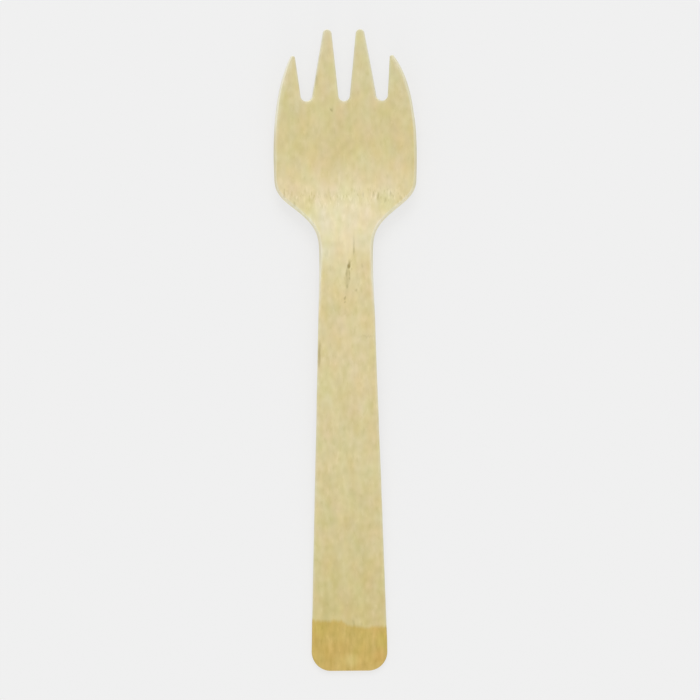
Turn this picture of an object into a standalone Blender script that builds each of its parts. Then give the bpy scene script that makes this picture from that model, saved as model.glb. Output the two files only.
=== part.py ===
"""Disposable wooden fork, made as one piece.

A flat blank is cut from thin wood sheet with the grain running lengthwise, its cut edges are eased, and it
is pressed hot into form: the handle stays flat, the neck dips, and the head becomes a shallow bowl with four
tines at its front.

Units are metres and +Z is up. The tines point to +Y, and +X is on the right as the fork is seen from above.
The fork lies as it comes to rest on a table, on the underside of its bowl and on the edge of its butt.
The origin is at the centre of its footprint, on the table.
"""
import math
from dataclasses import dataclass

import bmesh
import bpy

MM = 0.001

# The sheet, and how far its cut edges are rounded over
SHEET = 1.6 * MM
EDGE_EASE = 0.25 * MM

# Lengths along the midline, each starting where the one before it ends, from the butt to the tips
HANDLE_LENGTH = 103.4 * MM
SHOULDER_HOLLOW_LENGTH = 11.0 * MM
SHOULDER_ROUND_LENGTH = 8.0 * MM
CHEEK_LENGTH = 6.0 * MM
BOWL_FRONT_LENGTH = 13.8 * MM
TINE_LENGTH = 17.8 * MM

# Widths: at the butt, at the narrowest place of the neck, where the shoulder's hollow turns into its round,
# at the shoulder's corner, and at the head's widest place
BUTT_WIDTH = 18.9 * MM
NECK_WIDTH = 13.5 * MM
SHOULDER_WIDTH = 23.6 * MM
CORNER_WIDTH = 35.6 * MM
HEAD_WIDTH = 35.9 * MM

# Corners and directions of the cut edge, in degrees up from the cross direction
BUTT_CORNER_RADIUS = 4.8 * MM
SHOULDER_SLOPE = 39.5
CORNER_SLOPE = 88.0
LEFT_TIP_SLOPE = 117.0
RIGHT_TIP_SLOPE = 127.0

# How far the curved stretches of the edge hold their direction before they turn
BUTT_HOLD = 5.0 * MM
NECK_HOLD = 10.0 * MM
HOLLOW_HOLD = 5.0 * MM
SLOPE_HOLD_BELOW = 5.9 * MM
SLOPE_HOLD_ABOVE = 4.0 * MM
CORNER_HOLD = 3.9 * MM
CHEEK_HOLD = 2.0 * MM
HEAD_SIDE_HOLD = 7.8 * MM
OUTER_TIP_HOLD = 7.7 * MM

# The three slots between the tines, and the tips; the punch sits a hair left of the midline
SLOT_PITCH = 9.61 * MM
MIDDLE_SLOT_RADIUS = 1.45 * MM
OUTER_SLOT_RADIUS = 1.6 * MM
SLOT_SHIFT = -0.13 * MM
CENTRE_TIP_RADIUS = 1.1 * MM
CENTRE_TIP_INSET = 0.655 * MM
OUTER_TIP_RADIUS = 0.45 * MM
OUTER_TIP_SETBACK = 6.56 * MM
LEFT_TIP_OUT = 3.36 * MM
RIGHT_TIP_OUT = 2.54 * MM

# The press bends the sheet down at the neck, up at the heel of the bowl and up again along the bowl's floor.
# Each bend is a change of slope in degrees, and starts before or after a place on the outline.
NECK_BEND = -17.0
NECK_BEND_LENGTH = 11.0 * MM
NECK_BEND_BEFORE_NECK = 4.5 * MM
HEEL_BEND = 10.0
HEEL_BEND_LENGTH = 7.5 * MM
HEEL_BEND_BEFORE_CORNER = 7.0 * MM
BOWL_BEND = 13.0
BOWL_BEND_LENGTH = 17.0 * MM
BOWL_BEND_BEFORE_CORNER = 1.5 * MM

# The press also folds a trough across the sheet, which fades in along the handle and widens into the bowl
TROUGH_RUN_IN = 16.0 * MM
TROUGH_OPENS_AFTER_NECK = 2.0 * MM
TROUGH_OPEN_PAST_CORNER = 3.0 * MM
NECK_TROUGH_DEPTH = 1.3 * MM
HEAD_TROUGH_DEPTH = 3.8 * MM
TROUGH_POWER = 2.3

# How finely the cut blank is divided before it is pressed
POINTS_PER_SPAN = 8
CELL = 1.7 * MM
CUT_SNAP = 0.04 * MM
WELD = 0.0001 * MM
FACES_UP = 0.999
SMOOTH_UNDER = 40.0

WOOD_COLOUR = (0.69, 0.59, 0.34, 1.0)
WOOD_ROUGHNESS = 0.65

NECK = HANDLE_LENGTH
SHOULDER = NECK + SHOULDER_HOLLOW_LENGTH
CORNER = SHOULDER + SHOULDER_ROUND_LENGTH
WIDEST = CORNER + CHEEK_LENGTH
SLOT_FLOOR = WIDEST + BOWL_FRONT_LENGTH
TIPS = SLOT_FLOOR + TINE_LENGTH
FORMED_FROM = NECK - max(TROUGH_RUN_IN, NECK_BEND_BEFORE_NECK)

NORTH = 90.0
WEST = 180.0


@dataclass
class Knot:
    """A place on the outline: the directions in which the cut arrives and leaves, and its handles' reach."""
    x: float
    y: float
    arrive: float
    leave: float
    before: float = 0.0
    after: float = 0.0


def step(x, y, angle, distance):
    """The point at a distance from (x, y) in a direction given in degrees."""
    return x + distance * math.cos(math.radians(angle)), y + distance * math.sin(math.radians(angle))


def arc_reach(radius, turn):
    """Handle length that makes a curve follow a circle's arc of the given turn in degrees."""
    return 4.0 / 3.0 * math.tan(math.radians(abs(turn)) / 4.0) * radius


def side():
    """The right side of the outline, from the butt up to the head's widest place."""
    corner = arc_reach(BUTT_CORNER_RADIUS, 90.0)
    return [
        Knot(BUTT_WIDTH / 2 - BUTT_CORNER_RADIUS, 0.0, 0.0, 0.0, 0.0, corner),
        Knot(BUTT_WIDTH / 2, BUTT_CORNER_RADIUS, NORTH, NORTH, corner, BUTT_HOLD),
        Knot(NECK_WIDTH / 2, NECK, NORTH, NORTH, NECK_HOLD, HOLLOW_HOLD),
        Knot(SHOULDER_WIDTH / 2, SHOULDER, SHOULDER_SLOPE, SHOULDER_SLOPE,
             SLOPE_HOLD_BELOW, SLOPE_HOLD_ABOVE),
        Knot(CORNER_WIDTH / 2, CORNER, CORNER_SLOPE, CORNER_SLOPE, CORNER_HOLD, CHEEK_HOLD),
        Knot(HEAD_WIDTH / 2, WIDEST, NORTH, NORTH, CHEEK_HOLD, HEAD_SIDE_HOLD),
    ]


def mirrored(knots):
    """The same knots across the midline, walked the other way."""
    return [Knot(-k.x, k.y, -k.leave, -k.arrive, k.after, k.before) for k in reversed(knots)]


def slot(x, radius):
    """The round floor of a slot, walked from its right side to its left."""
    y = SLOT_FLOOR + radius
    quarter = arc_reach(radius, 90.0)
    return [
        Knot(x + radius, y, -NORTH, -NORTH, 0.0, quarter),
        Knot(x, SLOT_FLOOR, WEST, WEST, quarter, quarter),
        Knot(x - radius, y, NORTH, NORTH, quarter, 0.0),
    ]


def tip(x, y, radius, right_slope, left_slope, right_hold=0.0, left_hold=0.0):
    """A tine's round tip, walked from right to left between edges that run up at the given slopes."""
    middle_y = y - radius
    right_turn = WEST - right_slope
    left_turn = left_slope
    right_x, right_y = step(x, middle_y, right_slope - NORTH, radius)
    left_x, left_y = step(x, middle_y, left_slope + NORTH, radius)
    right_reach = arc_reach(radius, right_turn)
    left_reach = arc_reach(radius, left_turn)
    return [
        Knot(right_x, right_y, right_slope, right_slope, right_hold, right_reach),
        Knot(x, y, WEST, WEST, right_reach, left_reach),
        Knot(left_x, left_y, left_slope + WEST, left_slope + WEST, left_reach, left_hold),
    ]


def edge_slope(slot_x, slot_radius, tip_x, tip_y, tip_radius):
    """Direction of a tine's straight edge, from the near side of a slot's floor to the round of the tip."""
    slot_on_right = slot_x > tip_x
    across = tip_x - (slot_x - slot_radius if slot_on_right else slot_x + slot_radius)
    up = tip_y - tip_radius - (SLOT_FLOOR + slot_radius)
    spread = math.degrees(math.asin(tip_radius / math.hypot(across, up)))
    towards = math.degrees(math.atan2(up, across))
    return towards - spread if slot_on_right else towards + spread


def front():
    """The four tines and the three slots between them, from the right outer tine to the left one."""
    right = (SLOT_SHIFT + SLOT_PITCH, OUTER_SLOT_RADIUS)
    middle = (SLOT_SHIFT, MIDDLE_SLOT_RADIUS)
    left = (SLOT_SHIFT - SLOT_PITCH, OUTER_SLOT_RADIUS)
    outer_y = TIPS - OUTER_TIP_SETBACK

    right_tip = right[0] + RIGHT_TIP_OUT
    inner = edge_slope(*right, right_tip, outer_y, OUTER_TIP_RADIUS)
    knots = tip(right_tip, outer_y, OUTER_TIP_RADIUS, RIGHT_TIP_SLOPE, inner, right_hold=OUTER_TIP_HOLD)

    for right_slot, left_slot, lean in ((right, middle, -1), (middle, left, 1)):
        tip_x = (right_slot[0] + left_slot[0]) / 2 + lean * CENTRE_TIP_INSET
        right_edge = edge_slope(*right_slot, tip_x, TIPS, CENTRE_TIP_RADIUS)
        left_edge = edge_slope(*left_slot, tip_x, TIPS, CENTRE_TIP_RADIUS)
        knots += slot(*right_slot)
        knots += tip(tip_x, TIPS, CENTRE_TIP_RADIUS, right_edge, left_edge)
    knots += slot(*left)

    left_tip = left[0] - LEFT_TIP_OUT
    inner = edge_slope(*left, left_tip, outer_y, OUTER_TIP_RADIUS)
    knots += tip(left_tip, outer_y, OUTER_TIP_RADIUS, inner, WEST - LEFT_TIP_SLOPE, left_hold=OUTER_TIP_HOLD)
    return knots


def outline():
    """Every knot of the cut edge, once round the fork against the clock."""
    return side() + front() + mirrored(side())


def cut_blank(knots):
    """The flat blank as a mesh: the outline filled, as thick as the sheet, with both cut edges eased."""
    curve = bpy.data.curves.new("blank_outline", "CURVE")
    curve.dimensions = "2D"
    curve.fill_mode = "BOTH"
    curve.extrude = SHEET / 2 - EDGE_EASE
    curve.bevel_depth = EDGE_EASE
    curve.bevel_resolution = 1
    curve.offset = -EDGE_EASE
    curve.resolution_u = POINTS_PER_SPAN
    curve.render_resolution_u = 0
    spline = curve.splines.new("BEZIER")
    spline.bezier_points.add(len(knots) - 1)
    spline.use_cyclic_u = True
    for point, knot in zip(spline.bezier_points, knots):
        point.handle_left_type = "FREE"
        point.handle_right_type = "FREE"
        point.co = (knot.x, knot.y, 0.0)
        point.handle_left = (*step(knot.x, knot.y, knot.arrive, -knot.before), 0.0)
        point.handle_right = (*step(knot.x, knot.y, knot.leave, knot.after), 0.0)

    drawn = bpy.data.objects.new("blank_outline", curve)
    bpy.context.scene.collection.objects.link(drawn)
    evaluated = drawn.evaluated_get(bpy.context.evaluated_depsgraph_get())
    mesh = bpy.data.meshes.new_from_object(evaluated)
    bpy.data.objects.remove(drawn)
    bpy.data.curves.remove(curve)
    return mesh


def divide(bm):
    """Cuts the blank along lines one cell apart, lengthwise and, past the flat of the handle, across."""
    bmesh.ops.remove_doubles(bm, verts=bm.verts[:], dist=WELD)
    bmesh.ops.dissolve_faces(bm, faces=[face for face in bm.faces if abs(face.normal.z) > FACES_UP])
    each_side = math.floor(HEAD_WIDTH / 2 / CELL)
    cuts = [((line * CELL, 0.0, 0.0), (1.0, 0.0, 0.0)) for line in range(-each_side, each_side + 1)]
    rows = math.ceil((TIPS - FORMED_FROM) / CELL)
    cuts += [((0.0, FORMED_FROM + row * CELL, 0.0), (0.0, 1.0, 0.0)) for row in range(rows)]
    for place, direction in cuts:
        geometry = bm.verts[:] + bm.edges[:] + bm.faces[:]
        bmesh.ops.bisect_plane(bm, geom=geometry, dist=CUT_SNAP, plane_co=place, plane_no=direction)


def eased(distance, length):
    """Goes from 0 to 1 over the length, gently at both ends."""
    share = min(max(distance / length, 0.0), 1.0)
    return share * share * (3.0 - 2.0 * share)


def bend(distance, length, angle):
    """Height gained along a bend that brings the sheet to the given slope in degrees over the length."""
    share = distance / length
    if share <= 0.0:
        return 0.0
    run = share ** 3 - share ** 4 / 2 if share < 1.0 else share - 0.5
    return math.tan(math.radians(angle)) * length * run


def die_height(x, y):
    """Height of the press's lower die, which shapes the underside, with the handle at zero."""
    spine = bend(y - (NECK - NECK_BEND_BEFORE_NECK), NECK_BEND_LENGTH, NECK_BEND)
    spine += bend(y - (CORNER - HEEL_BEND_BEFORE_CORNER), HEEL_BEND_LENGTH, HEEL_BEND)
    spine += bend(y - (CORNER - BOWL_BEND_BEFORE_CORNER), BOWL_BEND_LENGTH, BOWL_BEND)
    started = eased(y - (NECK - TROUGH_RUN_IN), TROUGH_RUN_IN)
    opening = NECK + TROUGH_OPENS_AFTER_NECK
    opened = eased(y - opening, CORNER + TROUGH_OPEN_PAST_CORNER - opening)
    depth = NECK_TROUGH_DEPTH * started + (HEAD_TROUGH_DEPTH - NECK_TROUGH_DEPTH) * opened
    half_width = NECK_WIDTH / 2 + (HEAD_WIDTH - NECK_WIDTH) / 2 * opened
    return spine + depth * (abs(x) / half_width) ** TROUGH_POWER


def press(bm):
    """Lays the blank's underside on the die and stacks the sheet's thickness square to it."""
    probe = 0.01 * MM
    for vert in bm.verts:
        x, y = vert.co.x, vert.co.y
        height = die_height(x, y)
        slope_x = (die_height(x + probe, y) - die_height(x - probe, y)) / (2 * probe)
        slope_y = (die_height(x, y + probe) - die_height(x, y - probe)) / (2 * probe)
        layer = (vert.co.z + SHEET / 2) / math.sqrt(1.0 + slope_x ** 2 + slope_y ** 2)
        vert.co = (x - slope_x * layer, y - slope_y * layer, height + layer)


def rest_tilt(bm):
    """Angle by which the pressed fork leans back until its bowl and the foot of its butt meet the table."""
    underside = [vert.co for vert in bm.verts if vert.co.y < NECK / 2 and vert.co.z < EDGE_EASE / 4]
    foot = min(underside, key=lambda co: co.y)
    bowl = [vert.co for vert in bm.verts if vert.co.y > NECK]
    return max(math.atan2(foot.z - co.z, co.y - foot.y) for co in bowl)


def wood():
    """Pale hardwood, sanded and left bare."""
    material = bpy.data.materials.new("pale_wood")
    material.use_nodes = True
    shader = material.node_tree.nodes["Principled BSDF"]
    shader.inputs["Base Color"].default_value = WOOD_COLOUR
    shader.inputs["Roughness"].default_value = WOOD_ROUGHNESS
    shader.inputs["Metallic"].default_value = 0.0
    return material


def build_fork(collection):
    """Cuts, divides and presses the blank, then lays the fork on the table."""
    mesh = cut_blank(outline())
    bm = bmesh.new()
    bm.from_mesh(mesh)
    divide(bm)
    press(bm)
    bmesh.ops.recalc_face_normals(bm, faces=bm.faces[:])
    tilt = rest_tilt(bm)
    bm.to_mesh(mesh)
    bm.free()
    mesh.name = "fork"
    mesh.materials.clear()
    mesh.materials.append(wood())
    mesh.shade_smooth()
    mesh.set_sharp_from_angle(angle=math.radians(SMOOTH_UNDER))

    fork = bpy.data.objects.new("fork", mesh)
    collection.objects.link(fork)
    fork.rotation_euler.x = tilt
    bpy.context.view_layer.update()
    corners = [fork.matrix_world @ vert.co for vert in mesh.vertices]
    low = [min(co[axis] for co in corners) for axis in range(3)]
    high = [max(co[axis] for co in corners) for axis in range(3)]
    fork.location = (-(low[0] + high[0]) / 2, -(low[1] + high[1]) / 2, -low[2])
    return fork


for leftover in list(bpy.data.objects):
    bpy.data.objects.remove(leftover)

parts = bpy.data.collections.new("wooden_fork")
bpy.context.scene.collection.children.link(parts)
build_fork(parts)
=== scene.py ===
import itertools
import math
from dataclasses import dataclass

import bmesh
import bpy
import numpy as np
from mathutils.kdtree import KDTree
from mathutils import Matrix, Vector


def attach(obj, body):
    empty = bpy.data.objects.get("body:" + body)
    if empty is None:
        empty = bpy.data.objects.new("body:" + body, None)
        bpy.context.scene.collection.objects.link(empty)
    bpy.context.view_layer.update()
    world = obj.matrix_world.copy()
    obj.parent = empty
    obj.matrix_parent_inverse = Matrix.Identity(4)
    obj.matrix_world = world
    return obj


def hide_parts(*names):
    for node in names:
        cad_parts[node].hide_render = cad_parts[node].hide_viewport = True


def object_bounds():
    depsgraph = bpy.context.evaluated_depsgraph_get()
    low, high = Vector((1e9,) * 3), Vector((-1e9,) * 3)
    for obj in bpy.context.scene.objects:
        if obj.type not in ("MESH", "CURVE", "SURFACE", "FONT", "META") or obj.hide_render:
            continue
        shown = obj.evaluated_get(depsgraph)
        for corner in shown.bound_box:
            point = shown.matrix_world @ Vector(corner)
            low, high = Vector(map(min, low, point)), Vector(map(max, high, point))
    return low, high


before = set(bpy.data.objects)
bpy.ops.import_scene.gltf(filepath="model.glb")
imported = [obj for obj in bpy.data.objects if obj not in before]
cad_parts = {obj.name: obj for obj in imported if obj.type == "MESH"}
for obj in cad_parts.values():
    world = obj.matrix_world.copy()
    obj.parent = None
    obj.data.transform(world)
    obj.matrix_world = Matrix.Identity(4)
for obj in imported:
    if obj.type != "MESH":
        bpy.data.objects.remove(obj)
cad_low, cad_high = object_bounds()

MM = 0.001


# The camera looks straight down on the fork from a metre above it, through a long lens. It is turned by half
# a degree and set a little to one side, so that the tines lean slightly to the left of upright.
PICTURE_WIDTH = 174.4 * MM
CAMERA_HEIGHT = 1000.0 * MM
CAMERA_TURN = -0.5
CAMERA_RIGHT = 0.77 * MM
CAMERA_UP = 0.12 * MM
SENSOR_WIDTH = 36.0

camera_data = bpy.data.cameras.new("camera")
camera_data.sensor_width = SENSOR_WIDTH
camera_data.lens = SENSOR_WIDTH * (CAMERA_HEIGHT - (cad_low.z + cad_high.z) / 2) / PICTURE_WIDTH
camera = bpy.data.objects.new("camera", camera_data)
bpy.context.scene.collection.objects.link(camera)
camera.location = (CAMERA_RIGHT, CAMERA_UP, CAMERA_HEIGHT)
camera.rotation_euler.z = math.radians(CAMERA_TURN)
bpy.context.scene.camera = camera


# The fork is one piece of pale hardwood sheet with the grain running lengthwise. Its blank is cut out flat,
# tumbled so that the cut edges are eased, and pressed hot, which dips the neck and hollows the bowl.
SHEET = 1.6 * MM
EDGE_EASE = 0.25 * MM

HANDLE_LENGTH = 103.4 * MM
SHOULDER_HOLLOW_LENGTH = 11.0 * MM
SHOULDER_ROUND_LENGTH = 8.0 * MM
CHEEK_LENGTH = 6.0 * MM
BOWL_FRONT_LENGTH = 13.8 * MM
TINE_LENGTH = 17.8 * MM

BUTT_WIDTH = 18.9 * MM
NECK_WIDTH = 13.5 * MM
SHOULDER_WIDTH = 23.6 * MM
CORNER_WIDTH = 35.6 * MM
HEAD_WIDTH = 35.9 * MM

# Directions of the cut edge, in degrees up from the cross direction, and how far each stretch holds them
BUTT_CORNER_RADIUS = 4.8 * MM
SHOULDER_SLOPE = 39.5
CORNER_SLOPE = 88.0
LEFT_TIP_SLOPE = 117.0
RIGHT_TIP_SLOPE = 127.0
BUTT_HOLD = 5.0 * MM
NECK_HOLD = 10.0 * MM
HOLLOW_HOLD = 5.0 * MM
SLOPE_HOLD_BELOW = 5.9 * MM
SLOPE_HOLD_ABOVE = 4.0 * MM
CORNER_HOLD = 3.9 * MM
CHEEK_HOLD = 2.0 * MM
HEAD_SIDE_HOLD = 7.8 * MM
OUTER_TIP_HOLD = 7.7 * MM

SLOT_PITCH = 9.61 * MM
MIDDLE_SLOT_RADIUS = 1.45 * MM
OUTER_SLOT_RADIUS = 1.6 * MM
SLOT_SHIFT = -0.13 * MM
CENTRE_TIP_RADIUS = 1.1 * MM
CENTRE_TIP_INSET = 0.655 * MM
OUTER_TIP_RADIUS = 0.45 * MM
OUTER_TIP_SETBACK = 6.56 * MM
LEFT_TIP_OUT = 3.36 * MM
RIGHT_TIP_OUT = 2.54 * MM

NECK = HANDLE_LENGTH
SHOULDER = NECK + SHOULDER_HOLLOW_LENGTH
CORNER = SHOULDER + SHOULDER_ROUND_LENGTH
WIDEST = CORNER + CHEEK_LENGTH
SLOT_FLOOR = WIDEST + BOWL_FRONT_LENGTH
TIPS = SLOT_FLOOR + TINE_LENGTH
NORTH = 90.0
WEST = 180.0


@dataclass
class Knot:
    """A place on the outline: the directions in which the cut arrives and leaves, and its handles' reach."""
    x: float
    y: float
    arrive: float
    leave: float
    before: float = 0.0
    after: float = 0.0


def step(x, y, angle, distance):
    """The point at a distance from (x, y) in a direction given in degrees."""
    return x + distance * math.cos(math.radians(angle)), y + distance * math.sin(math.radians(angle))


def arc_reach(radius, turn):
    """Handle length that makes a curve follow a circle's arc of the given turn in degrees."""
    return 4.0 / 3.0 * math.tan(math.radians(abs(turn)) / 4.0) * radius


def side():
    """The right side of the outline, from the butt up to the head's widest place."""
    corner = arc_reach(BUTT_CORNER_RADIUS, 90.0)
    return [
        Knot(BUTT_WIDTH / 2 - BUTT_CORNER_RADIUS, 0.0, 0.0, 0.0, 0.0, corner),
        Knot(BUTT_WIDTH / 2, BUTT_CORNER_RADIUS, NORTH, NORTH, corner, BUTT_HOLD),
        Knot(NECK_WIDTH / 2, NECK, NORTH, NORTH, NECK_HOLD, HOLLOW_HOLD),
        Knot(SHOULDER_WIDTH / 2, SHOULDER, SHOULDER_SLOPE, SHOULDER_SLOPE,
             SLOPE_HOLD_BELOW, SLOPE_HOLD_ABOVE),
        Knot(CORNER_WIDTH / 2, CORNER, CORNER_SLOPE, CORNER_SLOPE, CORNER_HOLD, CHEEK_HOLD),
        Knot(HEAD_WIDTH / 2, WIDEST, NORTH, NORTH, CHEEK_HOLD, HEAD_SIDE_HOLD),
    ]


def mirrored(knots):
    """The same knots across the midline, walked the other way."""
    return [Knot(-k.x, k.y, -k.leave, -k.arrive, k.after, k.before) for k in reversed(knots)]


def slot(x, radius):
    """The round floor of a slot, walked from its right side to its left."""
    y = SLOT_FLOOR + radius
    quarter = arc_reach(radius, 90.0)
    return [
        Knot(x + radius, y, -NORTH, -NORTH, 0.0, quarter),
        Knot(x, SLOT_FLOOR, WEST, WEST, quarter, quarter),
        Knot(x - radius, y, NORTH, NORTH, quarter, 0.0),
    ]


def tip(x, y, radius, right_slope, left_slope, right_hold=0.0, left_hold=0.0):
    """A tine's round tip, walked from right to left between edges that run up at the given slopes."""
    right_x, right_y = step(x, y - radius, right_slope - NORTH, radius)
    left_x, left_y = step(x, y - radius, left_slope + NORTH, radius)
    right_reach = arc_reach(radius, WEST - right_slope)
    left_reach = arc_reach(radius, left_slope)
    return [
        Knot(right_x, right_y, right_slope, right_slope, right_hold, right_reach),
        Knot(x, y, WEST, WEST, right_reach, left_reach),
        Knot(left_x, left_y, left_slope + WEST, left_slope + WEST, left_reach, left_hold),
    ]


def edge_slope(slot_x, slot_radius, tip_x, tip_y, tip_radius):
    """Direction of a tine's straight edge, from the near side of a slot's floor to the round of the tip."""
    slot_on_right = slot_x > tip_x
    across = tip_x - (slot_x - slot_radius if slot_on_right else slot_x + slot_radius)
    up = tip_y - tip_radius - (SLOT_FLOOR + slot_radius)
    spread = math.degrees(math.asin(tip_radius / math.hypot(across, up)))
    towards = math.degrees(math.atan2(up, across))
    return towards - spread if slot_on_right else towards + spread


def front():
    """The four tines and the three slots between them, from the right outer tine to the left one."""
    right = (SLOT_SHIFT + SLOT_PITCH, OUTER_SLOT_RADIUS)
    middle = (SLOT_SHIFT, MIDDLE_SLOT_RADIUS)
    left = (SLOT_SHIFT - SLOT_PITCH, OUTER_SLOT_RADIUS)
    outer_y = TIPS - OUTER_TIP_SETBACK

    right_tip = right[0] + RIGHT_TIP_OUT
    inner = edge_slope(*right, right_tip, outer_y, OUTER_TIP_RADIUS)
    knots = tip(right_tip, outer_y, OUTER_TIP_RADIUS, RIGHT_TIP_SLOPE, inner, right_hold=OUTER_TIP_HOLD)

    for right_slot, left_slot, lean in ((right, middle, -1), (middle, left, 1)):
        tip_x = (right_slot[0] + left_slot[0]) / 2 + lean * CENTRE_TIP_INSET
        right_edge = edge_slope(*right_slot, tip_x, TIPS, CENTRE_TIP_RADIUS)
        left_edge = edge_slope(*left_slot, tip_x, TIPS, CENTRE_TIP_RADIUS)
        knots += slot(*right_slot)
        knots += tip(tip_x, TIPS, CENTRE_TIP_RADIUS, right_edge, left_edge)
    knots += slot(*left)

    left_tip = left[0] - LEFT_TIP_OUT
    inner = edge_slope(*left, left_tip, outer_y, OUTER_TIP_RADIUS)
    knots += tip(left_tip, outer_y, OUTER_TIP_RADIUS, inner, WEST - LEFT_TIP_SLOPE, left_hold=OUTER_TIP_HOLD)
    return knots


# The blank is drawn as a filled curve and cut into fine cells, so that the press and the wood's own
# unevenness can shape every face of it.
POINTS_PER_SPAN = 20
EDGE_STEPS = 2
CELL_ACROSS = 0.25 * MM
CELL_ALONG = 0.5 * MM
BLOCK_ROWS = 24
CUT_SNAP = 0.02 * MM
WELD = 0.0001 * MM
FACES_UP = 0.999


def cut_blank(knots):
    """The flat blank as a mesh: the outline filled, as thick as the sheet, with both cut edges eased."""
    curve = bpy.data.curves.new("blank_outline", "CURVE")
    curve.dimensions = "2D"
    curve.fill_mode = "BOTH"
    curve.extrude = SHEET / 2 - EDGE_EASE
    curve.bevel_depth = EDGE_EASE
    curve.bevel_resolution = EDGE_STEPS
    curve.offset = -EDGE_EASE
    curve.resolution_u = POINTS_PER_SPAN
    curve.render_resolution_u = 0
    spline = curve.splines.new("BEZIER")
    spline.bezier_points.add(len(knots) - 1)
    spline.use_cyclic_u = True
    for point, knot in zip(spline.bezier_points, knots):
        point.handle_left_type = "FREE"
        point.handle_right_type = "FREE"
        point.co = (knot.x, knot.y, 0.0)
        point.handle_left = (*step(knot.x, knot.y, knot.arrive, -knot.before), 0.0)
        point.handle_right = (*step(knot.x, knot.y, knot.leave, knot.after), 0.0)

    drawn = bpy.data.objects.new("blank_outline", curve)
    bpy.context.scene.collection.objects.link(drawn)
    mesh = bpy.data.meshes.new_from_object(drawn.evaluated_get(bpy.context.evaluated_depsgraph_get()))
    bpy.data.objects.remove(drawn)
    bpy.data.curves.remove(curve)
    return mesh


def cut(bm, geometry, place, direction):
    """Cuts the given geometry at a plane, and returns what it has become."""
    halved = bmesh.ops.bisect_plane(bm, geom=geometry, dist=CUT_SNAP, plane_co=place, plane_no=direction)
    return halved["geom"]


def divide(bm):
    """Cuts the blank into long strips and those into cells, in blocks so that each cut meets few faces."""
    bmesh.ops.remove_doubles(bm, verts=bm.verts[:], dist=WELD)
    bmesh.ops.dissolve_faces(bm, faces=[face for face in bm.faces if abs(face.normal.z) > FACES_UP])
    everything = bm.verts[:] + bm.edges[:] + bm.faces[:]
    strips = math.ceil(HEAD_WIDTH / 2 / CELL_ACROSS)
    for line in range(-strips, strips + 1):
        everything = cut(bm, everything, (line * CELL_ACROSS, 0.0, 0.0), (1.0, 0.0, 0.0))

    rows = math.ceil(TIPS / CELL_ALONG)
    ends = list(range(0, rows, BLOCK_ROWS)) + [rows]
    for row in ends[1:-1]:
        everything = cut(bm, everything, (0.0, row * CELL_ALONG, 0.0), (0.0, 1.0, 0.0))
    blocks = [[] for _ in ends[1:]]
    for face in bm.faces:
        row = face.calc_center_median().y / CELL_ALONG
        blocks[min(max(int(row // BLOCK_ROWS), 0), len(blocks) - 1)].append(face)
    for first, last, faces in zip(ends, ends[1:], blocks):
        edges = {edge for face in faces for edge in face.edges}
        verts = {vert for face in faces for vert in face.verts}
        block = sorted(verts, key=lambda v: v.index) + sorted(edges, key=lambda e: e.index) + faces
        for row in range(first + 1, last):
            block = cut(bm, block, (0.0, row * CELL_ALONG, 0.0), (0.0, 1.0, 0.0))


blank = cut_blank(side() + front() + mirrored(side()))
bm = bmesh.new()
bm.from_mesh(blank)
divide(bm)
bmesh.ops.recalc_face_normals(bm, faces=bm.faces[:])
bm.to_mesh(blank)
bm.free()
flat = np.empty(len(blank.vertices) * 3)
blank.vertices.foreach_get("co", flat)
flat = flat.reshape(-1, 3)
depth = flat[:, 2] / MM


def eased(distance, length):
    """Goes from 0 to 1 over the length, gently at both ends."""
    share = np.clip(distance / length, 0.0, 1.0)
    return share * share * (3.0 - 2.0 * share)


# Random heights repeat after so many cells along and across the grain, which is more than the fork has
LATTICE_ROWS = 509
LATTICE_COLUMNS = 257


def uneven(x, y, across, lengthwise, seed):
    """Smooth random heights from -1 to 1, in cells drawn out along the grain, all in millimetres."""
    table = np.random.default_rng(seed).uniform(-1.0, 1.0, (LATTICE_ROWS, LATTICE_COLUMNS))
    column, row = x / across, y / lengthwise
    left, below = np.floor(column).astype(int), np.floor(row).astype(int)
    over, up = eased(column - left, 1.0), eased(row - below, 1.0)
    corners = [
        table[(below + j) % LATTICE_ROWS, (left + i) % LATTICE_COLUMNS]
        for j in (0, 1) for i in (0, 1)
    ]
    lower = corners[0] + (corners[1] - corners[0]) * over
    upper = corners[2] + (corners[3] - corners[2]) * over
    return lower + (upper - lower) * up


# The press bends the sheet down at the neck, up at the heel of the bowl and up again along the bowl's floor,
# and folds a trough across it that fades in along the handle and widens into the bowl.
NECK_BEND = -17.0
NECK_BEND_LENGTH = 11.0 * MM
NECK_BEND_BEFORE_NECK = 4.5 * MM
HEEL_BEND = 10.0
HEEL_BEND_LENGTH = 7.5 * MM
HEEL_BEND_BEFORE_CORNER = 7.0 * MM
BOWL_BEND = 13.0
BOWL_BEND_LENGTH = 17.0 * MM
BOWL_BEND_BEFORE_CORNER = 1.5 * MM
TROUGH_RUN_IN = 16.0 * MM
TROUGH_OPENS_AFTER_NECK = 2.0 * MM
TROUGH_OPEN_PAST_CORNER = 3.0 * MM
NECK_TROUGH_DEPTH = 1.3 * MM
HEAD_TROUGH_DEPTH = 3.8 * MM
TROUGH_POWER = 2.3
PROBE = 0.01 * MM


def bend(distance, length, angle):
    """Height gained along a bend that brings the sheet to the given slope in degrees over the length."""
    share = np.maximum(distance / length, 0.0)
    run = np.where(share < 1.0, share ** 3 - share ** 4 / 2, share - 0.5)
    return math.tan(math.radians(angle)) * length * run


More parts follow.
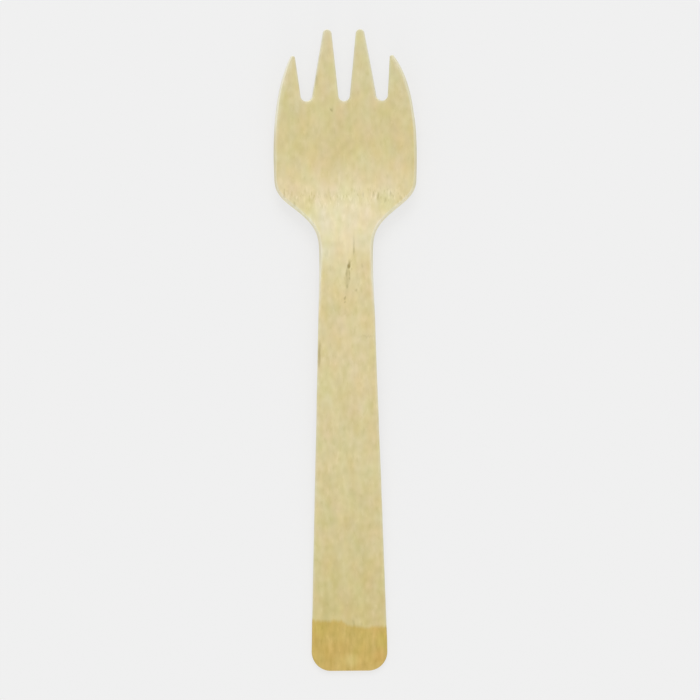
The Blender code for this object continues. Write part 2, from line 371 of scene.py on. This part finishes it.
def die_height(x, y):
    """Height of the press's lower die, which shapes the underside, with the handle at zero."""
    spine = bend(y - (NECK - NECK_BEND_BEFORE_NECK), NECK_BEND_LENGTH, NECK_BEND)
    spine += bend(y - (CORNER - HEEL_BEND_BEFORE_CORNER), HEEL_BEND_LENGTH, HEEL_BEND)
    spine += bend(y - (CORNER - BOWL_BEND_BEFORE_CORNER), BOWL_BEND_LENGTH, BOWL_BEND)
    started = eased(y - (NECK - TROUGH_RUN_IN), TROUGH_RUN_IN)
    opening = NECK + TROUGH_OPENS_AFTER_NECK
    opened = eased(y - opening, CORNER + TROUGH_OPEN_PAST_CORNER - opening)
    trough = NECK_TROUGH_DEPTH * started + (HEAD_TROUGH_DEPTH - NECK_TROUGH_DEPTH) * opened
    half_width = NECK_WIDTH / 2 + (HEAD_WIDTH - NECK_WIDTH) / 2 * opened
    return spine + trough * (np.abs(x) / half_width) ** TROUGH_POWER


def pressed(x, y, layer):
    """Where points of the blank go in the press: x and y across it, and layer up from its underside."""
    height = die_height(x, y)
    slope_x = (die_height(x + PROBE, y) - die_height(x - PROBE, y)) / (2 * PROBE)
    slope_y = (die_height(x, y + PROBE) - die_height(x, y - PROBE)) / (2 * PROBE)
    lift = layer / np.sqrt(1.0 + slope_x ** 2 + slope_y ** 2)
    return np.column_stack((x - slope_x * lift, y - slope_y * lift, height + lift))


# The fork leans back until its bowl and the foot of its butt meet the table, and lies where the frame has it.
even = pressed(flat[:, 0], flat[:, 1], flat[:, 2] + SHEET / 2)
feet = np.flatnonzero((flat[:, 1] < NECK / 2) & (even[:, 2] < EDGE_EASE / 4))
foot = even[feet[np.argmin(even[feet, 1])]]
bowl = even[flat[:, 1] > NECK]
tilt = np.max(np.arctan2(foot[2] - bowl[:, 2], bowl[:, 1] - foot[1]))
lean_back = np.array(((1, 0, 0), (0, math.cos(tilt), math.sin(tilt)), (0, -math.sin(tilt), math.cos(tilt))))
even = even @ lean_back
middle = (even.min(axis=0) + even.max(axis=0)) / 2
lies_at = np.array((cad_low.x + cad_high.x, cad_low.y + cad_high.y, 0.0)) / 2 - (middle[0], middle[1], 0.0)
even += lies_at

# Where each spot lies on the fork, in millimetres: from the midline, from the butt, and up from the middle of
# the sheet. The wood's markings are placed by it.
cross = even[:, 0] / MM
along = (even[:, 1] - cad_low.y) / MM
place = np.column_stack((cross, along, depth))

# The rim is paler and a little lowered, least at the shoulders and most at the outer tines, above all the
# left one.
# The pairs give how wide the pale rim is at a distance from the butt, in millimetres.
LEFT_RIM = (
    (0, 0.8), (92, 0.8), (104, 0.5), (112, 0.3), (118, 0.2), (124, 0.2), (130, 0.6),
    (140, 1.3), (147, 1.6), (153, 1.9),
)
RIGHT_RIM = (
    (0, 0.8), (94, 0.8), (104, 0.5), (112, 0.3), (118, 0.2), (124, 0.2), (132, 0.4),
    (142, 0.3), (148, 0.7), (153, 1.6),
)
SLOT_RIM = 0.8
RIM_DROP = 0.12
WALL_MARGIN = 0.01

wall_depth = (SHEET / 2 - EDGE_EASE) / MM + WALL_MARGIN
walls = np.flatnonzero(np.abs(depth) < wall_depth)
wall_tree = KDTree(len(walls))
for number, wall in enumerate(walls):
    wall_tree.insert((flat[wall, 0], flat[wall, 1], 0.0), number)
wall_tree.balance()
found = [wall_tree.find((x, y, 0.0)) for x, y, _ in flat]
to_wall = np.array([distance for _, _, distance in found]) / MM
nearest = flat[walls[[number for _, number, _ in found]]]
left_of_tips = nearest[:, 0] < SLOT_SHIFT - SLOT_PITCH - LEFT_TIP_OUT
right_of_tips = nearest[:, 0] > SLOT_SHIFT + SLOT_PITCH + RIGHT_TIP_OUT
outside = (nearest[:, 1] < SLOT_FLOOR) | left_of_tips | right_of_tips
outer_width = np.where(cross < 0, np.interp(along, *zip(*LEFT_RIM)), np.interp(along, *zip(*RIGHT_RIM)))
rim = np.clip(1.0 - to_wall / np.where(outside, outer_width, SLOT_RIM), 0.0, 1.0)


@dataclass
class Mark:
    """A soft lens-shaped mark on the upper face: where its middle lies from the midline and the butt, its
    size in millimetres, how strong it is, how far it leans in degrees, how deep it is, and how far down an
    edge it reaches."""
    x: float
    y: float
    width: float
    length: float
    strength: float
    lean: float = 0.0
    groove: float = 0.0
    reach: float = 0.8


# A short split below the neck with its two tails and the smear under them, a thin olive streak beside it,
# specks along the handle and the head, stains on the edges, a faint wide stripe up the bowl, and dark fibres
# across its heel
DARK_MARKS = (
    Mark(0.73, 101.6, 0.95, 3.4, 0.75, 8.0, 0.10),
    Mark(0.56, 100.9, 0.90, 1.9, 0.70, 4.0, 0.08),
    Mark(0.13, 99.4, 0.75, 3.2, 0.50, 9.0, 0.05),
    Mark(0.75, 99.3, 0.70, 3.2, 0.42, -6.0, 0.04),
    Mark(0.31, 97.5, 2.00, 4.6, 0.34),
    Mark(0.23, 96.0, 1.00, 2.2, 0.34, 0.0, 0.03),
    Mark(0.24, 94.5, 2.00, 3.6, 0.18),
    Mark(0.81, 97.7, 0.60, 0.9, 0.30),
    Mark(1.96, 106.0, 0.95, 8.0, 0.30, -1.0, 0.03),
    Mark(1.95, 104.9, 0.80, 2.6, 0.20),
    Mark(2.46, 95.0, 0.90, 1.3, 0.34),
    Mark(-0.40, 93.0, 0.90, 1.2, 0.55),
    Mark(-0.43, 92.0, 0.80, 1.1, 0.30),
    Mark(1.38, 102.3, 0.70, 0.9, 0.20),
    Mark(1.31, 100.3, 0.70, 0.9, 0.26),
    Mark(3.95, 101.0, 1.00, 1.8, 0.18),
    Mark(-3.35, 140.2, 1.20, 1.4, 0.50),
    Mark(5.35, 83.5, 6.50, 0.9, 0.14, 3.0),
    Mark(-6.88, 79.0, 1.15, 9.8, 0.60, 2.0, 0.0, 2.0),
    Mark(-6.95, 147.3, 1.10, 4.0, 0.30, 0.0, 0.0, 2.0),
    Mark(15.50, 146.5, 1.10, 4.4, 0.30, -12.0, 0.0, 2.0),
    Mark(1.15, 12.0, 0.80, 3.2, 0.20, -12.0),
    Mark(3.05, 11.6, 0.70, 2.2, 0.16),
    Mark(-1.85, 132.0, 7.50, 28.0, 0.10),
    Mark(-15.22, 118.8, 0.80, 3.4, 0.40),
    Mark(-12.63, 116.3, 0.75, 2.4, 0.34),
    Mark(-5.13, 118.8, 0.75, 2.4, 0.20),
    Mark(-4.73, 118.5, 0.65, 2.0, 0.16),
    Mark(4.29, 118.9, 0.80, 2.4, 0.30),
    Mark(6.93, 118.9, 0.75, 2.2, 0.30),
    Mark(8.10, 118.3, 0.75, 3.0, 0.42),
    Mark(9.81, 117.4, 1.00, 2.4, 0.34, 8.0),
    Mark(11.22, 119.1, 0.70, 2.0, 0.28),
    Mark(13.70, 117.9, 1.00, 2.2, 0.30, -10.0),
    Mark(11.03, 114.2, 0.75, 2.0, 0.34),
)

# Places rubbed paler: fibres across the heel of the bowl, a streak up its middle, the neck's left edge, the
# sides of the head, the left outer tine and the handle's edges, and flecks in the bowl and beside the split
PALE_MARKS = (
    Mark(-7.50, 116.7, 0.70, 4.0, 0.45),
    Mark(-12.04, 118.0, 0.60, 2.2, 0.40),
    Mark(-9.85, 118.0, 0.60, 2.2, 0.36),
    Mark(3.18, 117.3, 0.70, 2.6, 0.50),
    Mark(5.24, 117.1, 0.70, 2.4, 0.50),
    Mark(-3.61, 118.8, 0.55, 2.0, 0.34),
    Mark(-0.99, 118.5, 0.60, 2.2, 0.36),
    Mark(11.04, 115.7, 0.60, 1.9, 0.36),
    Mark(-8.87, 112.5, 1.10, 1.6, 0.55, 0.0, 0.0, 2.0),
    Mark(-1.50, 122.6, 0.70, 5.0, 0.36),
    Mark(-14.70, 131.0, 7.00, 26.0, 0.22, 0.0, 0.0, 2.0),
    Mark(15.20, 131.5, 7.00, 24.0, 0.32, 0.0, 0.0, 2.0),
    Mark(-12.30, 145.8, 6.00, 16.0, 0.42),
    Mark(-7.60, 36.0, 4.50, 62.0, 0.20),
    Mark(7.30, 30.0, 3.50, 30.0, 0.14),
    Mark(13.37, 128.5, 0.50, 2.2, 0.36),
    Mark(-5.64, 124.1, 0.60, 0.9, 0.36),
    Mark(10.51, 124.1, 0.60, 0.9, 0.36),
    Mark(1.16, 100.6, 0.80, 1.2, 0.50),
    Mark(1.69, 95.0, 0.70, 1.2, 0.30),
    Mark(3.03, 95.0, 0.70, 1.2, 0.30),
)

# The faces are not quite flat: furrows follow the grain, the pressed bowl is a little wavy, the cut edge
# wanders by hundredths of a millimetre, and the heel of the bowl, which the press folded, has a row of
# crushed and raised fibres. Heights and cells, across the grain and along it, are in millimetres.
FURROW = 0.012
FINE_FURROW_CELL = (0.55, 9.0)
BROAD_FURROW_CELL = (1.3, 24.0)
BROAD_FURROW_SHARE = 0.7
RIPPLE = 0.02
RIPPLE_CELL = (5.0, 11.0)
EDGE_WANDER = 0.03
EDGE_WANDER_CELL = (6.0, 4.0)
CREASE_RELIEF = 0.03
CREASE_LINE = 118.2
CREASE_LINE_WANDER = 0.6
CREASE_LINE_CELL = (4.0, 30.0)
CREASE_REACH = 3.6
CREASE_FIBRE_CELL = (0.5, 1.3)
CREASE_SPARSENESS = 0.30
UPPER_FACE_SHARE = 0.99

above = np.clip(depth / (SHEET / 2 / MM), 0.0, 1.0)
below = np.clip(-depth / (SHEET / 2 / MM), 0.0, 1.0)
fine_furrows = uneven(cross, along, *FINE_FURROW_CELL, seed=1)
broad_furrows = uneven(cross, along, *BROAD_FURROW_CELL, seed=2)
furrows = fine_furrows + BROAD_FURROW_SHARE * broad_furrows
ripples = uneven(cross, along, *RIPPLE_CELL, seed=3)
relief = FURROW * (furrows - (1.0 + BROAD_FURROW_SHARE)) + RIPPLE * (ripples - 1.0)

fibres_here = uneven(cross, along, *CREASE_FIBRE_CELL, seed=5)
crushed = np.sign(fibres_here) * eased(np.abs(fibres_here) - CREASE_SPARSENESS, 1.0 - CREASE_SPARSENESS)
crease_middle = CREASE_LINE + CREASE_LINE_WANDER * uneven(cross, along, *CREASE_LINE_CELL, seed=6)
on_top = above > UPPER_FACE_SHARE
crease = crushed * eased(CREASE_REACH - np.abs(along - crease_middle), CREASE_REACH) * on_top

dug = np.zeros(len(flat))
for mark in DARK_MARKS:
    lean = math.radians(mark.lean)
    over = (cross - mark.x) * math.cos(lean) + (along - mark.y) * math.sin(lean)
    up = (along - mark.y) * math.cos(lean) - (cross - mark.x) * math.sin(lean)
    dug += mark.groove * eased(1.0 - np.hypot(over / mark.width, up / mark.length) * 2.0, 1.0)

top_now = relief - RIM_DROP * rim ** 2 - dug + CREASE_RELIEF * (crease - 1.0)
layer_now = flat[:, 2] + SHEET / 2 + (above * top_now - below * relief) * MM
x_now = flat[:, 0] + EDGE_WANDER * MM * uneven(cross, along, *EDGE_WANDER_CELL, seed=4)
worn = pressed(x_now, flat[:, 1], layer_now) @ lean_back + lies_at
worn[:, 2] += cad_low.z - worn[:, 2].min()
blank.vertices.foreach_set("co", worn.ravel())
blank.update()

cut_edge = 1.0 - eased(np.abs(depth) - wall_depth, EDGE_EASE / MM)
blank.attributes.new("place", "FLOAT_VECTOR", "POINT").data.foreach_set("vector", place.ravel())
for name, values in (("rim", rim), ("cut_edge", cut_edge)):
    blank.attributes.new(name, "FLOAT", "POINT").data.foreach_set("value", values)


def seen(red, green, blue):
    """A colour given from 0 to 255 as it is seen, as the shader's linear one."""
    shares = (channel / 255 for channel in (red, green, blue))
    return (*(s / 12.92 if s <= 0.04045 else ((s + 0.055) / 1.055) ** 2.4 for s in shares), 1.0)


# The wood's colour at distances from the butt in millimetres, with painted light in it: the pale neck is
# partly a painted sheen where its slope faces the key light, and the darker heel of the bowl is partly
# painted shade where it turns away. Then the honey-brown band at the butt. The tints multiply it: what the
# grain, stains and rubbed places do, and the slow drifts of hue.
WOOD_AND_LIGHT_ALONG = (
    (14, seen(205, 189, 131)),
    (30, seen(207, 194, 141)),
    (50, seen(211, 198, 148)),
    (90, seen(216, 201, 152)),
    (101, seen(219, 204, 155)),
    # From here to the heel the tones carry painted light: a painted sheen on the neck, painted shade at the
    # heel of the bowl
    (110, seen(230, 218, 181)),
    (117, seen(226, 216, 176)),
    (124, seen(219, 203, 154)),
    (130, seen(211, 197, 143)),
    (142, seen(212, 198, 148)),
    (158, seen(212, 202, 156)),
)
BAND = seen(198, 172, 95)
BAND_OLIVE = seen(194, 171, 87)
BAND_ORANGE = seen(199, 168, 91)
BAND_PALE = seen(208, 187, 116)
# The cut edge's tones are partly painted light: paler than the wood, to make up for the light its walls don't
# get
CUT_EDGE = seen(226, 216, 170)
CUT_EDGE_PALE_AND_LIT = seen(241, 233, 198)
GRAIN_DARK = (0.80, 0.79, 0.62, 1.0)
GRAIN_PALE = (1.20, 1.21, 1.38, 1.0)
PINKISH = (1.055, 0.96, 1.00, 1.0)
GREENISH = (0.95, 1.04, 1.00, 1.0)
YELLOW = (1.00, 0.99, 0.84, 1.0)
BLUISH = (1.00, 1.01, 1.16, 1.0)
PALE_RIM = (1.05, 1.10, 1.30, 1.0)
STAIN = (0.45, 0.42, 0.28, 1.0)
RUBBED = (1.13, 1.15, 1.30, 1.0)
SHOULDER_YELLOW = (0.955, 0.95, 0.83, 1.0)
NECK_GREEN = (0.98, 1.06, 1.11, 1.0)
UNTOUCHED = (1.0, 1.0, 1.0, 1.0)

wood = bpy.data.materials.new("pale_wood")
wood.use_nodes = True
tree = wood.node_tree
shader = tree.nodes["Principled BSDF"]


def add(kind, **settings):
    """A new node of the wood's material, with its settings."""
    made = tree.nodes.new("ShaderNode" + kind)
    for name, value in settings.items():
        setattr(made, name, value)
    return made


def feed(made, *values):
    """Gives a node's sockets their values in order, each a number, a colour or another node's socket."""
    for socket, value in zip(made.inputs, values):
        if isinstance(value, bpy.types.NodeSocket):
            tree.links.new(value, socket)
        elif value is not None:
            socket.default_value = value
    return made.outputs[0]


def sum_of(first, second):
    """first + second."""
    return feed(add("Math", operation="ADD"), first, second)


def times(first, second):
    """first x second."""
    return feed(add("Math", operation="MULTIPLY"), first, second)


def plus_times(total, factor, share):
    """total + factor x share."""
    return feed(add("Math", operation="MULTIPLY_ADD"), factor, share, total)


def between(value, start, end):
    """Goes gently from 0 to 1 while the value goes from start to end."""
    return feed(add("MapRange", interpolation_type="SMOOTHSTEP"), value, start, end, 0.0, 1.0)


def blended(factor, under, over, way="MIX"):
    """One colour laid over another by a factor."""
    made = add("Mix", data_type="RGBA", blend_type=way)
    for socket, value in ((made.inputs[0], factor), (made.inputs[6], under), (made.inputs[7], over)):
        if isinstance(value, bpy.types.NodeSocket):
            tree.links.new(value, socket)
        else:
            socket.default_value = value
    return made.outputs[2]


def tinted(colour, factor, tint, start=UNTOUCHED):
    """A colour multiplied by a tint that grows with the factor from the start tint."""
    return blended(1.0, colour, blended(factor, start, tint), "MULTIPLY")


spot = add("Attribute", attribute_name="place").outputs["Vector"]
parts = add("SeparateXYZ")
feed(parts, spot)
from_middle, from_butt, through = parts.outputs

NOISE_SHIFT = 7.3
NOISE_SHIFT_ALONG = 1.7
NOISE_SHIFT_THROUGH = 0.6
noise_numbers = itertools.count(1)


def distance_from(line):
    """How far a spot lies from a line across the fork, which is given from the butt in millimetres."""
    return feed(add("Math", operation="ABSOLUTE"), sum_of(from_butt, -line))


def stretched(across, lengthwise):
    """The place on the fork in cells drawn out along the grain, shifted so that no two noises are alike."""
    shift = next(noise_numbers) * NOISE_SHIFT
    return feed(add("VectorMath", operation="MULTIPLY_ADD"), spot, (1 / across, 1 / lengthwise, 1 / across),
                (shift, shift * NOISE_SHIFT_ALONG, shift * NOISE_SHIFT_THROUGH))


def fibres(across, lengthwise, detail=1.0):
    """Noise around 0.5 in cells drawn out along the grain, of the given size in millimetres."""
    return feed(add("TexNoise"), stretched(across, lengthwise), None, 1.0, detail, 0.5)


# The rims of the marks are ragged, because they are looked up at a place that wanders along the fibres. Each
# mark has its full strength in its core, and a patch goes through the whole sheet.
WANDER = (0.5, 1.6, 0.0)
MARK_CORE = 0.1
THROUGH_THE_SHEET = 9.0

wander = add("TexNoise")
feed(wander, stretched(0.5, 2.4), None, 1.0, 2.0, 0.5)
centred = feed(add("VectorMath", operation="SUBTRACT"), wander.outputs["Color"], (0.5, 0.5, 0.5))
ragged_spot = feed(add("VectorMath", operation="MULTIPLY_ADD"), centred, WANDER, spot)


def marked(marks):
    """How strongly a spot is marked: the sum of soft lenses with ragged rims."""
    total = 0.0
    for mark in marks:
        local = feed(add("Mapping", vector_type="TEXTURE"), ragged_spot, (mark.x, mark.y, SHEET / 2 / MM),
                     (0.0, 0.0, math.radians(-mark.lean)), (mark.width / 2, mark.length / 2, mark.reach))
        distance = add("VectorMath", operation="LENGTH")
        feed(distance, local)
        total = plus_times(total, between(distance.outputs["Value"], 1.0, MARK_CORE), mark.strength)
    return total


def patch(x, y, width, length):
    """A wide soft patch that goes through the sheet."""
    return marked((Mark(x, y, width, length, strength=1.0, reach=THROUGH_THE_SHEET),))


# Wood with painted light: paler at the neck, partly a painted sheen on its slope, darker at the heel of the
# bowl, partly painted shade, and yellower and a little darker towards the butt. Each tone starts a little
# nearer to the butt in one place and a little further from it in another.
WOOD_DRIFT = 5.0

ramp = add("ValToRGB")
stops = ramp.color_ramp.elements
drifting = plus_times(-WOOD_DRIFT / 2, fibres(6.0, 12.0), WOOD_DRIFT)
feed(ramp, times(sum_of(from_butt, drifting), MM / TIPS))
for number, (distance, tone) in enumerate(WOOD_AND_LIGHT_ALONG):
    stop = stops[number] if number < len(stops) else stops.new(distance * MM / TIPS)
    stop.position = distance * MM / TIPS
    stop.color = tone
ramp.color_ramp.interpolation = "B_SPLINE"
wood_and_light = ramp.outputs["Color"]

# The band ends in a ragged line that steps down from left to right, because each fibre took the colour up
# for itself, and it is olive under that line, more orange below and paler by the butt's middle.
BAND_EDGE_RIGHT = 11.0
BAND_EDGE_RISE = 1.7
BAND_STEP = (0.8, -2.6)
BAND_RAGGEDNESS = 1.2
BAND_SOFTNESS = 0.6
BAND_PATCHES = (
    (-7.0, 10.4, 7.0, 6.0, BAND_OLIVE),
    (8.2, 7.6, 5.0, 8.0, BAND_OLIVE),
    (-4.5, 5.2, 9.0, 7.0, BAND_ORANGE),
    (7.4, 3.6, 6.0, 6.0, BAND_ORANGE),
    (0.4, 2.6, 5.5, 5.4, BAND_PALE),
)

band = BAND
for x, y, width, length, tone in BAND_PATCHES:
    band = blended(patch(x, y, width, length), band, tone)
edge = plus_times(BAND_EDGE_RIGHT, between(from_middle, *BAND_STEP), BAND_EDGE_RISE)
for cells in (fibres(0.6, 30.0), fibres(2.6, 30.0)):
    edge = plus_times(edge, cells, BAND_RAGGEDNESS)
below_edge = plus_times(sum_of(edge, -BAND_RAGGEDNESS), from_butt, -1.0)
into_band = between(below_edge, -BAND_SOFTNESS, BAND_SOFTNESS)
colour = blended(into_band, wood_and_light, band)

# The grain: fine and broad fibres, short dark pores and pale flakes, and the crushed fibres of the crease.
# It is weaker in the bowl, which the press smoothed, and the band has strong streaks. The levels say from
# where a noise counts and where it counts in full, and the places are in millimetres.
HEAD_TO_NECK = (126.0, 112.0)
HEAD_CONTRAST = 0.7
NECK_CONTRAST_MORE = 0.15
BAND_CONTRAST_MORE = 0.12
STREAKS = 0.10
BAND_STREAKS_MORE = 0.52
PORE_LEVELS = (0.58, 0.76)
DASH_LEVELS = (0.55, 0.70)
DASH_LINE = 0.4
DASH_DEPTHS = (0.4, 0.7)

GRAIN = (
    (fibres(1.25, 1.8, 0.0), 0.50),
    (fibres(1.9, 8.0), 0.24),
    (fibres(3.5, 45.0, 0.0), 0.14),
)
grain = -sum(weight for part, weight in GRAIN) / 2
for part, weight in GRAIN:
    grain = plus_times(grain, part, weight)
PORES_AND_FLAKES = (
    (fibres(0.65, 1.5), -0.12),
    (fibres(0.70, 1.7), 0.12),
)
for cells, weight in PORES_AND_FLAKES:
    grain = plus_times(grain, between(cells, *PORE_LEVELS), weight)
contrast = plus_times(HEAD_CONTRAST, between(from_butt, *HEAD_TO_NECK), NECK_CONTRAST_MORE)
contrast = plus_times(contrast, into_band, BAND_CONTRAST_MORE)
grain = plus_times(0.5, grain, contrast)
streaks = sum_of(fibres(0.80, 4.0), -0.5)
grain = plus_times(grain, streaks, plus_times(STREAKS, into_band, BAND_STREAKS_MORE))

# The dark dashes of the crease, and the pale ones a little nearer to the butt: the line they lie along, how
# far they reach from it, their cells and their weight in the grain
CREASE_DASHES = (
    (118.9, 3.0, fibres(0.48, 1.6), -0.25),
    (117.9, 3.6, fibres(0.54, 1.8), 0.25),
)
for line, reach, cells, weight in CREASE_DASHES:
    away = distance_from(line)
    dashes = times(between(away, reach, DASH_LINE), between(cells, *DASH_LEVELS))
    grain = plus_times(grain, times(dashes, between(through, *DASH_DEPTHS)), weight)
colour = tinted(colour, grain, GRAIN_PALE, GRAIN_DARK)
colour = tinted(colour, fibres(4.0, 7.0), PINKISH, GREENISH)
colour = tinted(colour, fibres(2.5, 5.0), YELLOW, BLUISH)

# The neck's middle is palest, partly from the painted sheen in the wood's tones: the shoulders beside it are
# tinted yellower and a little darker, and its left side greener
shoulders = sum_of(patch(-10.2, 115.6, 12.0, 11.0), patch(10.6, 116.0, 12.5, 11.5))
colour = tinted(colour, shoulders, SHOULDER_YELLOW)
colour = tinted(colour, patch(-4.8, 106.5, 6.0, 16.0), NECK_GREEN)

# The pale rim and the cut edge are paler, the edge least at the shoulders and on the head's right side, and
# both hardly in the band. The cut edge's tone is partly the fresh-cut wood's own and partly painted light,
# which makes up for the light its sideways-facing walls don't get. The marks lie over everything.
SHOULDER_LINE = 118.0
SHOULDER_REACH = (12.0, 20.0)
RIGHT_TO_LEFT = (15.0, 2.0)
RIGHT_PALENESS = 0.20
SHOULDER_EDGE = 0.35
OTHER_EDGE_MORE = 0.50
BAND_EDGE_LESS = -0.75
BAND_RIM_LESS = -0.85

rim_here = add("Attribute", attribute_name="rim").outputs["Fac"]
edge_here = add("Attribute", attribute_name="cut_edge").outputs["Fac"]
off_shoulder = between(distance_from(SHOULDER_LINE), *SHOULDER_REACH)
to_left = plus_times(RIGHT_PALENESS, between(from_middle, *RIGHT_TO_LEFT), 1.0 - RIGHT_PALENESS)
edge_tone_and_light = blended(times(off_shoulder, to_left), CUT_EDGE, CUT_EDGE_PALE_AND_LIT)
edge_share = plus_times(plus_times(SHOULDER_EDGE, off_shoulder, OTHER_EDGE_MORE), into_band, BAND_EDGE_LESS)
colour = blended(times(edge_here, edge_share), colour, edge_tone_and_light)
rim_share = times(between(rim_here, 0.0, 1.0), plus_times(1.0, into_band, BAND_RIM_LESS))
colour = tinted(colour, rim_share, PALE_RIM)
colour = tinted(colour, marked(DARK_MARKS), STAIN)
colour = tinted(colour, marked(PALE_MARKS), RUBBED)
feed(shader, colour)

# Bare sanded wood is dull. It shines a little more in the band, and its fibres stand up by hundredths of a
# millimetre.
ROUGHNESS = 0.60
ROUGHNESS_SPREAD = 0.16
BAND_GLOSS = -0.10
SHEEN = 0.35
FIBRE_HEIGHT = 0.05 * MM

rough = plus_times(ROUGHNESS - ROUGHNESS_SPREAD / 2, fibres(0.5, 3.0), ROUGHNESS_SPREAD)
tree.links.new(plus_times(rough, into_band, BAND_GLOSS), shader.inputs["Roughness"])
shader.inputs["Specular IOR Level"].default_value = SHEEN
bump = add("Bump")
bump.inputs["Distance"].default_value = FIBRE_HEIGHT
tree.links.new(grain, bump.inputs["Height"])
tree.links.new(bump.outputs["Normal"], shader.inputs["Normal"])

blank.name = "pressed_fork"
blank.materials.clear()
blank.materials.append(wood)
blank.shade_smooth()
pressed_fork = bpy.data.objects.new("pressed_fork", blank)
bpy.context.scene.collection.objects.link(pressed_fork)
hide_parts("fork")
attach(pressed_fork, "root")


# A plain pale tabletop with nothing else on it, and plain air of the same tone behind it. What the camera
# sees of the tabletop is mostly its own glow, so that it stays even and takes the fork's shadow faintly.
FLOOR_SIDE = 12.0
FLOOR_TONE = 0.871
FLOOR_GLOW_SHARE = 0.8
SKY_LIGHT = 0.62

floor_mesh = bpy.data.meshes.new("floor")
bm = bmesh.new()
bmesh.ops.create_grid(bm, x_segments=1, y_segments=1, size=FLOOR_SIDE / 2)
bm.to_mesh(floor_mesh)
bm.free()
floor = bpy.data.objects.new("floor", floor_mesh)
bpy.context.scene.collection.objects.link(floor)


def direct_view(nodes, links):
    """1 for what is seen straight, in a reflection or through glass, and 0 for light on its way."""
    path = nodes.new("ShaderNodeLightPath")
    seen_by = path.outputs["Is Camera Ray"]
    for ray in ("Is Glossy Ray", "Is Transmission Ray"):
        either = nodes.new("ShaderNodeMath")
        either.operation = "MAXIMUM"
        links.new(seen_by, either.inputs[0])
        links.new(path.outputs[ray], either.inputs[1])
        seen_by = either.outputs[0]
    return seen_by


paper = bpy.data.materials.new("plain_floor")
paper.use_nodes = True
nodes, links = paper.node_tree.nodes, paper.node_tree.links
nodes.clear()
matt = nodes.new("ShaderNodeBsdfDiffuse")
glow = nodes.new("ShaderNodeEmission")
for layer in (matt, glow):
    layer.inputs["Color"].default_value = (FLOOR_TONE, FLOOR_TONE, FLOOR_TONE, 1.0)
share = nodes.new("ShaderNodeMath")
share.operation = "MULTIPLY"
share.inputs[1].default_value = FLOOR_GLOW_SHARE
links.new(direct_view(nodes, links), share.inputs[0])
both = nodes.new("ShaderNodeMixShader")
links.new(share.outputs[0], both.inputs[0])
links.new(matt.outputs[0], both.inputs[1])
links.new(glow.outputs[0], both.inputs[2])
surface = nodes.new("ShaderNodeOutputMaterial")
links.new(both.outputs[0], surface.inputs["Surface"])
floor_mesh.materials.append(paper)

world = bpy.data.worlds.new("plain_air")
world.use_nodes = True
bpy.context.scene.world = world
nodes, links = world.node_tree.nodes, world.node_tree.links
air = nodes["Background"]
air.inputs["Color"].default_value = (1.0, 1.0, 1.0, 1.0)
tone = nodes.new("ShaderNodeMix")
tone.data_type = "FLOAT"
tone.inputs[2].default_value = SKY_LIGHT
tone.inputs[3].default_value = FLOOR_TONE
links.new(direct_view(nodes, links), tone.inputs[0])
links.new(tone.outputs[0], air.inputs["Strength"])


# Two large soft lights: the key beyond the tines, halfway up, and a weak low one from the butt's side, which
# keeps the cut edges there from going dark. Each gives a share of the table's full light, from an angle in
# degrees, and its width costs it a tenth of that.
LIGHT_DISTANCE = 6.0
LIGHT_SIDE = 3.5
WIDTH_LOSS = 0.9
LIGHTS = (
    ("key", 0.30, 50.0, 1),
    ("low_fill", 0.08, 18.0, -1),
)

for name, share, elevation, side_of_table in LIGHTS:
    rise, reach = math.sin(math.radians(elevation)), math.cos(math.radians(elevation))
    lamp_data = bpy.data.lights.new(name, "AREA")
    lamp_data.shape = "SQUARE"
    lamp_data.size = LIGHT_SIDE
    lamp_data.energy = share * math.pi ** 2 * LIGHT_DISTANCE ** 2 / rise / WIDTH_LOSS
    lamp = bpy.data.objects.new(name, lamp_data)
    bpy.context.scene.collection.objects.link(lamp)
    lamp.location = (0.0, side_of_table * LIGHT_DISTANCE * reach, LIGHT_DISTANCE * rise)
    lamp.rotation_euler.x = -side_of_table * math.radians(90.0 - elevation)
    lamp.visible_camera = False

bpy.context.scene.view_settings.view_transform = "Standard"
